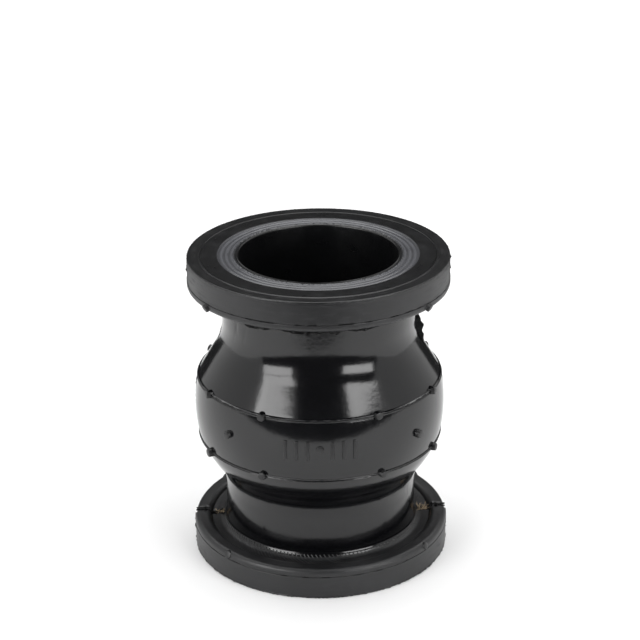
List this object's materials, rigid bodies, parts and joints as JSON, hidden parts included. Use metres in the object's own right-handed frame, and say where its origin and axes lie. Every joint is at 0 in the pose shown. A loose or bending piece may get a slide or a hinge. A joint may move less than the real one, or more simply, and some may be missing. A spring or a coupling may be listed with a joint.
{
  "type": "rubber expansion joint",
  "caption": "Moulded black rubber pipe joint with one arch between two flanged beads, built of a cover, cord plies and a liner over wire hoops; it squeezes, bends and shifts sideways",
  "frame": {"origin": "centre of the lower sealing face", "axes": "+Z along the bore from the lower face to the upper, -Y to the side with the raised bars"},
  "size_m": [0.1088, 0.107, 0.13],
  "materials": {
    "cover_rubber": "glossy moulded black rubber, satin on the bead rims",
    "liner_rubber": "matt dark grey-black rubber",
    "ply_cord": "rubberised brown nylon tyre cord",
    "bead_wire": "bronze-coated bead wire",
    "filler_rubber": "hard black rubber"
  },
  "bodies": {
    "lower_bead": {"lower_bead_cover": "cover_rubber", "lower_bead_liner": "liner_rubber", "lower_bead_inner_ply": "ply_cord", "lower_bead_middle_ply": "ply_cord", "lower_bead_outer_ply": "ply_cord", "lower_bead_wires": "bead_wire", "lower_bead_wrap": "ply_cord", "lower_bead_filler": "filler_rubber"},
    "lower_neck": {"lower_neck_cover": "cover_rubber", "lower_neck_outer_ply": "ply_cord", "lower_neck_middle_ply": "ply_cord", "lower_neck_inner_ply": "ply_cord", "lower_neck_liner": "liner_rubber"},
    "lower_arch": {"lower_arch_cover": "cover_rubber", "lower_arch_outer_ply": "ply_cord", "lower_arch_middle_ply": "ply_cord", "lower_arch_inner_ply": "ply_cord", "lower_arch_liner": "liner_rubber"},
    "upper_bead": {"upper_bead_cover": "cover_rubber", "upper_bead_liner": "liner_rubber", "upper_bead_inner_ply": "ply_cord", "upper_bead_middle_ply": "ply_cord", "upper_bead_outer_ply": "ply_cord", "upper_bead_wires": "bead_wire", "upper_bead_wrap": "ply_cord", "upper_bead_filler": "filler_rubber"},
    "upper_neck": {"upper_neck_cover": "cover_rubber", "upper_neck_outer_ply": "ply_cord", "upper_neck_middle_ply": "ply_cord", "upper_neck_inner_ply": "ply_cord", "upper_neck_liner": "liner_rubber"},
    "upper_arch": {"upper_arch_cover": "cover_rubber", "upper_arch_outer_ply": "ply_cord", "upper_arch_middle_ply": "ply_cord", "upper_arch_inner_ply": "ply_cord", "upper_arch_liner": "liner_rubber"}
  },
  "joints": [
    {"name": "lower_bend", "type": "hinge", "parent": "lower_bead", "child": "lower_neck", "pos_m": [0, 0, 0.023], "axis": [0, 1, 0], "range_deg": [-7.5, 7.5], "stiffness_Nm_per_rad": 40, "deforming": ["lower_neck_cover", "lower_neck_outer_ply", "lower_neck_middle_ply", "lower_neck_inner_ply", "lower_neck_liner"]},
    {"name": "lower_squeeze", "type": "slide", "parent": "lower_neck", "child": "lower_arch", "axis": [0, 0, 1], "range_m": [-0.0065, 0.0035], "stiffness_N_per_m": 12000},
    {"name": "sway", "type": "slide", "parent": "lower_arch", "child": "upper_arch", "axis": [1, 0, 0], "range_m": [-0.011, 0.011], "stiffness_N_per_m": 8000},
    {"name": "upper_squeeze", "type": "slide", "parent": "upper_arch", "child": "upper_neck", "axis": [0, 0, 1], "range_m": [-0.0065, 0.0035], "stiffness_N_per_m": 12000, "deforming": ["upper_neck_cover", "upper_neck_outer_ply", "upper_neck_middle_ply", "upper_neck_inner_ply", "upper_neck_liner"]},
    {"name": "upper_bend", "type": "hinge", "parent": "upper_neck", "child": "upper_bead", "pos_m": [0, 0, 0.107], "axis": [0, 1, 0], "range_deg": [-7.5, 7.5], "stiffness_Nm_per_rad": 40}
  ],
  "couplings": [
    {"joint": "upper_squeeze", "follows": "lower_squeeze", "ratio": 1},
    {"joint": "upper_bend", "follows": "lower_bend", "ratio": 1}
  ]
}
